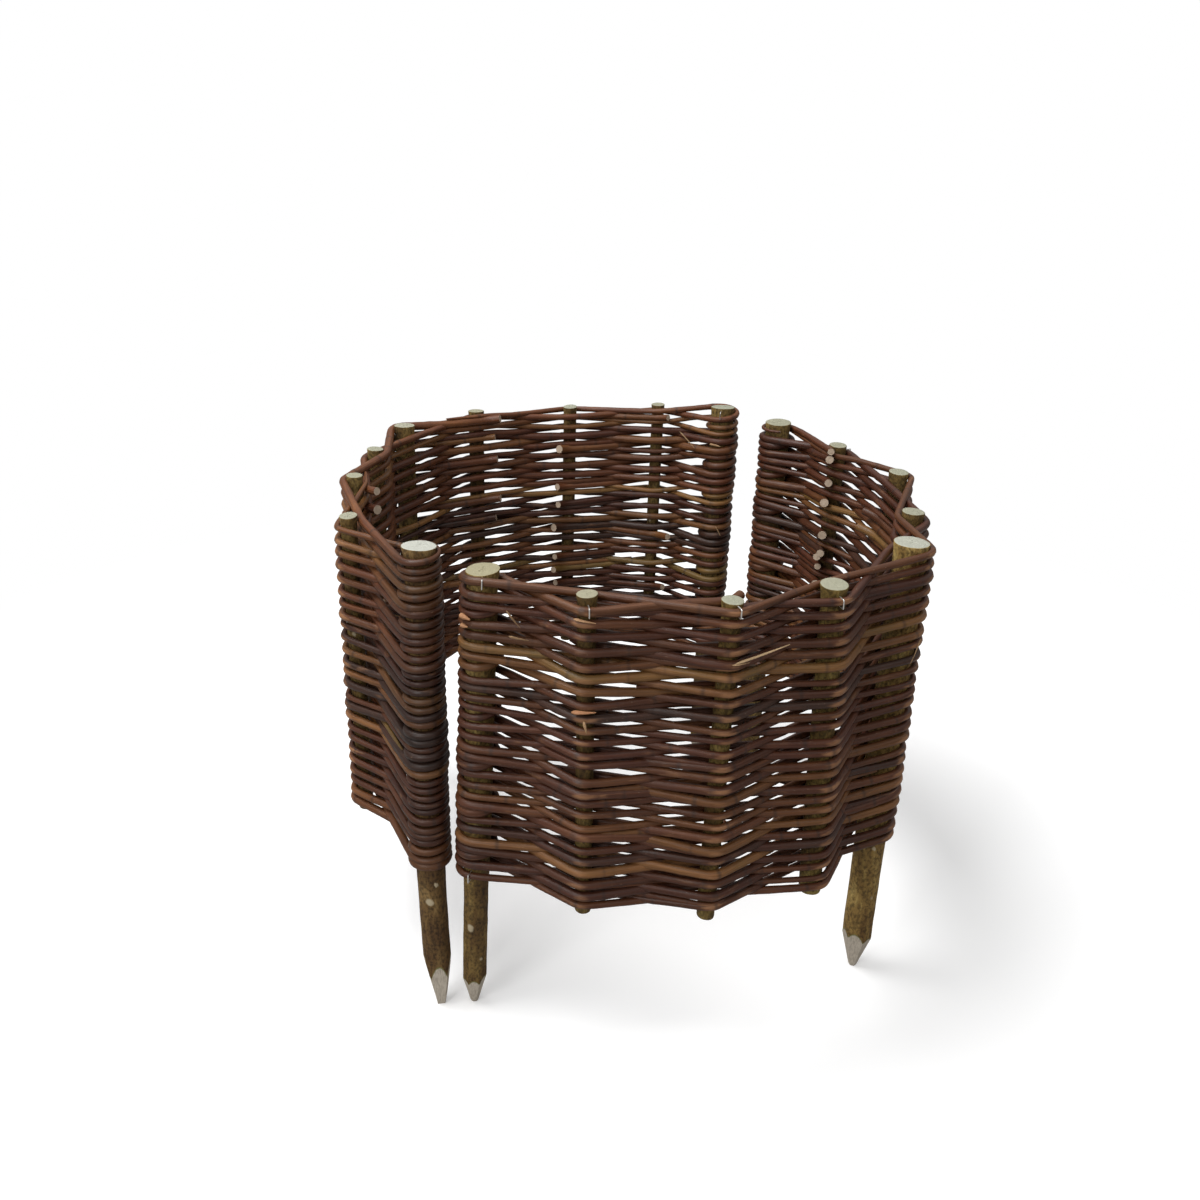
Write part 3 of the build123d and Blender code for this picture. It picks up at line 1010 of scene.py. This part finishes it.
# %% The bark of the stakes
stake_finish = Finish(bpy.data.materials.new("willow_pole_bark"))
place, place_x, place_y, place_z = stake_finish.parts("place")
wood, depth, scar, pale = stake_finish.parts("wood")
_, sawn, yellow, painted_light_on_bark = stake_finish.parts("sawn")
green = stake_finish.number("green")
blotches = stake_finish.noise(place, 38.0, 5.0, (1.0, 1.0, 0.45))
grain = stake_finish.noise(place, 240.0, 5.0, (1.0, 1.0, 0.16))
crust = stake_finish.noise(place, 420.0, 5.0, (1.0, 1.0, 0.7))
barks = [
    (0.24, (0.030, 0.013, 0.005)),
    (0.40, (0.085, 0.043, 0.014)),
    (0.52, (0.150, 0.086, 0.028)),
    (0.64, (0.270, 0.174, 0.066)),
    (0.80, (0.190, 0.158, 0.046)),
]
bark_brown = stake_finish.ramp(blotches * 0.65 + grain * 0.35, barks)
mossy = stake_finish.blend(1.0, bark_brown, (0.85, 1.12, 0.72), "MULTIPLY")
bark_brown = stake_finish.blend(green * 0.75, bark_brown, mossy)
# painted light: each stake's bark is made brighter or darker by its own painted light
bark_brown = stake_finish.darken(bark_brown, stake_finish.between(crust, 0.32, 0.62, 0.48, 1.26) * painted_light_on_bark)
scarred = stake_finish.between(scar, 0.25, 0.6, 0.0, 0.9)
bark_brown = stake_finish.blend(scarred, bark_brown, (0.50, 0.42, 0.28))
print("stops in the bark's ramp:", len(barks))

# %% The fresh wood of the stakes
across = stake_finish.node("ShaderNodeCombineXYZ", {}, {0: place_x, 1: place_y, 2: 0.0})[0]
radius = stake_finish.node("ShaderNodeVectorMath", {"operation": "LENGTH"}, {0: across})["Value"]
growth = radius * 5200.0 + stake_finish.noise(place, 120.0) * 3.0
rings = growth.maths("SINE", growth)
fibres = stake_finish.noise(place, 700.0, 4.0, (1.0, 1.0, 0.12))
face = stake_finish.blend(yellow, (0.32, 0.33, 0.26), (0.31, 0.27, 0.16))
face = stake_finish.blend(stake_finish.between(pale, 0.55, 1.0), face, (0.47, 0.48, 0.43))
face = stake_finish.blend(stake_finish.between(rings, -1.0, 1.0, 0.0, 0.16), face, (0.30, 0.26, 0.14))
chopped = stake_finish.blend(stake_finish.between(fibres, 0.3, 0.7), (0.46, 0.40, 0.32), (0.68, 0.61, 0.51))
fresh = stake_finish.blend(sawn, chopped, face)
fresh = stake_finish.blend(stake_finish.between(fibres, 0.58, 0.78, 0.0, 0.45), fresh, (0.24, 0.20, 0.12))
print("growth rings are", round(2 * math.pi / 5200.0 / mm, 1), "mm apart")

# %% Draw the line between bark and wood
ragged = depth + (crust - 0.5) * 0.0006
skin = stake_finish.blend(stake_finish.between(ragged, -0.00005, 0.00012), bark_brown, (0.20, 0.19, 0.07))
surface = stake_finish.blend(stake_finish.between(ragged, 0.00025, 0.0005), skin, fresh)
stake_material = stake_finish.shade(surface, 0.72, grain + crust * 0.5, 0.0011, **{"Specular IOR Level": 0.3})
for piece in stake_pieces:
    piece.data.materials.append(stake_material)
print("stake pieces dressed:", len(stake_pieces))

# %% [markdown]
# ## Wire and split wood
#
# A staple is bright drawn wire, and one metal with a fixed roughness is all that it needs at this size. A
# sliver shows the inside of a rod, tan where it is old and orange where it is fresh. Two plain materials would
# do for that, but one that mixes the two by a stored number keeps the slivers a single piece.

# %% Finish of the wire and the slivers
wire_finish = Finish(bpy.data.materials.new("staple_wire"))
wire_steel = {"Base Color": (0.80, 0.79, 0.76, 1), "Metallic": 0.9, "Roughness": 0.32}
wire_surface = wire_finish.node("ShaderNodeBsdfPrincipled", {}, wire_steel)["BSDF"]
wire_finish.node("ShaderNodeOutputMaterial", {}, {"Surface": wire_surface})
staples.data.materials.append(wire_finish.owner)

split_finish = Finish(bpy.data.materials.new("split_wood"))
split_place = split_finish.parts("place")[0]
split_grain = split_finish.noise(split_place, 500.0, 4.0)
tan = split_finish.blend(split_grain, (0.20, 0.12, 0.05), (0.44, 0.31, 0.17))
orange = split_finish.blend(split_grain, (0.26, 0.10, 0.035), (0.50, 0.25, 0.12))
split_colour = split_finish.blend(split_finish.number("fresh"), tan, orange)
slivers.data.materials.append(split_finish.shade(split_colour, 0.7, split_grain, 0.0005))
print("wire and slivers dressed")

# %% [markdown]
# ## The floor
#
# The photograph is a cut-out on white. A floor that was only white and lit would turn grey at its far end, and
# a white one that glows would lose the shadow. So this one is lit paper with a faint glow near the ring, which
# keeps the shadow, and fades to plain white further out. Only the camera sees that: for the light that
# bounces back on to the ring it is plain ground.

# %% Lay the floor
floor_mesh = bpy.data.meshes.new("floor")
floor_mesh.from_pydata([(-6, -6, 0), (6, -6, 0), (6, 6, 0), (-6, 6, 0)], [], [(0, 1, 2, 3)])
floor = bpy.data.objects.new("floor", floor_mesh)
bpy.context.scene.collection.objects.link(floor)
floor_finish = Finish(bpy.data.materials.new("white_floor"))
seen = floor_finish.node("ShaderNodeLightPath")["Is Camera Ray"]
spot = floor_finish.node("ShaderNodeTexCoord")["Object"]
away = floor_finish.node("ShaderNodeVectorMath", {"operation": "LENGTH"}, {0: spot})["Value"]
paper = floor_finish.node("ShaderNodeBsdfDiffuse", {}, {"Color": (0.90, 0.90, 0.90, 1)})["BSDF"]
glow_colour = floor_finish.blend(floor_finish.between(away, 0.3, 1.0), (0.17, 0.17, 0.17), (0.32, 0.32, 0.32))
glow = floor_finish.node("ShaderNodeEmission", {}, {"Color": glow_colour, "Strength": 1.0})
lit_paper = floor_finish.node("ShaderNodeAddShader", {}, {0: paper, 1: glow[0]})[0]
white = floor_finish.node("ShaderNodeEmission", {}, {"Color": (1, 1, 1, 1), "Strength": 1.0})[0]
far = floor_finish.between(away, 0.55, 1.15)
seen_floor = floor_finish.node("ShaderNodeMixShader", {}, {0: far, 1: lit_paper, 2: white})[0]
ground = floor_finish.node("ShaderNodeBsdfDiffuse", {}, {"Color": (0.34, 0.33, 0.32, 1)})["BSDF"]
floor_surface = floor_finish.node("ShaderNodeMixShader", {}, {0: seen, 1: ground, 2: seen_floor})[0]
floor_finish.node("ShaderNodeOutputMaterial", {}, {"Surface": floor_surface})
floor_mesh.materials.append(floor_finish.owner)
print("floor laid")

# %% [markdown]
# ## Sky and lamps
#
# The ring stood under an even light, soft from above and with little from below. A world of one grey would
# light the gaps of the weave from all sides and make it flat, so the sky is brighter towards the top. Two
# wide lamps give the soft shadow. The camera itself sees plain white behind the ring.

# %% Brighten the sky towards the top
sky = Finish(bpy.data.worlds.new("soft_sky"))
bpy.context.scene.world = sky.owner
heading = sky.node("ShaderNodeTexCoord")["Generated"]
upwards = sky.node("ShaderNodeSeparateXYZ", {}, {0: heading})["Z"]
sky_range = {"Value": upwards, "From Min": 0.0, "From Max": 0.9, "To Min": 0.14, "To Max": 0.88}
sky_strength = sky.node("ShaderNodeMapRange", {}, sky_range)["Result"]
open_sky = sky.node("ShaderNodeBackground", {}, {"Color": (1, 1, 1, 1), "Strength": sky_strength})[0]
white_back = sky.node("ShaderNodeBackground", {}, {"Color": (1, 1, 1, 1), "Strength": 1.0})[0]
seen_sky = sky.node("ShaderNodeLightPath")["Is Camera Ray"]
sky_surface = sky.node("ShaderNodeMixShader", {}, {0: seen_sky, 1: open_sky, 2: white_back})[0]
sky.node("ShaderNodeOutputWorld", {}, {"Surface": sky_surface})
print("sky nodes:", len(sky.tree.nodes))


# %% Hang the lamps
def add_soft_light(name, place, target, size, power):
    """A square lamp at a place that looks at a target."""
    lamp = bpy.data.lights.new(name, "AREA")
    lamp.size, lamp.energy = size, power
    light = bpy.data.objects.new(name, lamp)
    light.location = place
    toward = np.array(target) - np.array(place)
    yaw = math.atan2(toward[1], toward[0]) - math.pi / 2
    pitch = math.atan2(math.hypot(toward[0], toward[1]), -toward[2])
    light.rotation_euler = (pitch, 0, yaw)
    bpy.context.scene.collection.objects.link(light)


add_soft_light("soft_top", (-0.7, -0.7, 2.6), (0, 0, 0.25), 1.3, 47)
add_soft_light("soft_front", (-0.1, -2.3, 1.5), (0, 0, 0.2), 0.7, 15)
print("lamps hung:", len(bpy.data.lights))

# %% [markdown]
# ## The camera
#
# The camera stands where the stake tops, the leg tips and the lower edge of the weave fall on the same places
# as in the photograph. It could be found by eye, but known points fix it better. It looks down at 24 degrees,
# and the shift puts the ring a little left of and below the middle of the picture.

# %% Set the camera
camera = bpy.data.objects.new("camera", bpy.data.cameras.new("camera"))
bpy.context.scene.collection.objects.link(camera)
camera.location = (0.567, -0.886, 0.827)
camera.rotation_euler = (math.radians(66), 0, math.radians(38))
camera.data.sensor_width = 36
camera.data.lens = 35.6
camera.data.shift_x, camera.data.shift_y = 0.0667, -0.0308
bpy.context.scene.camera = camera
bpy.context.scene.view_settings.view_transform = "Standard"
print("camera at", [round(value, 3) for value in camera.location])

# %% [markdown]
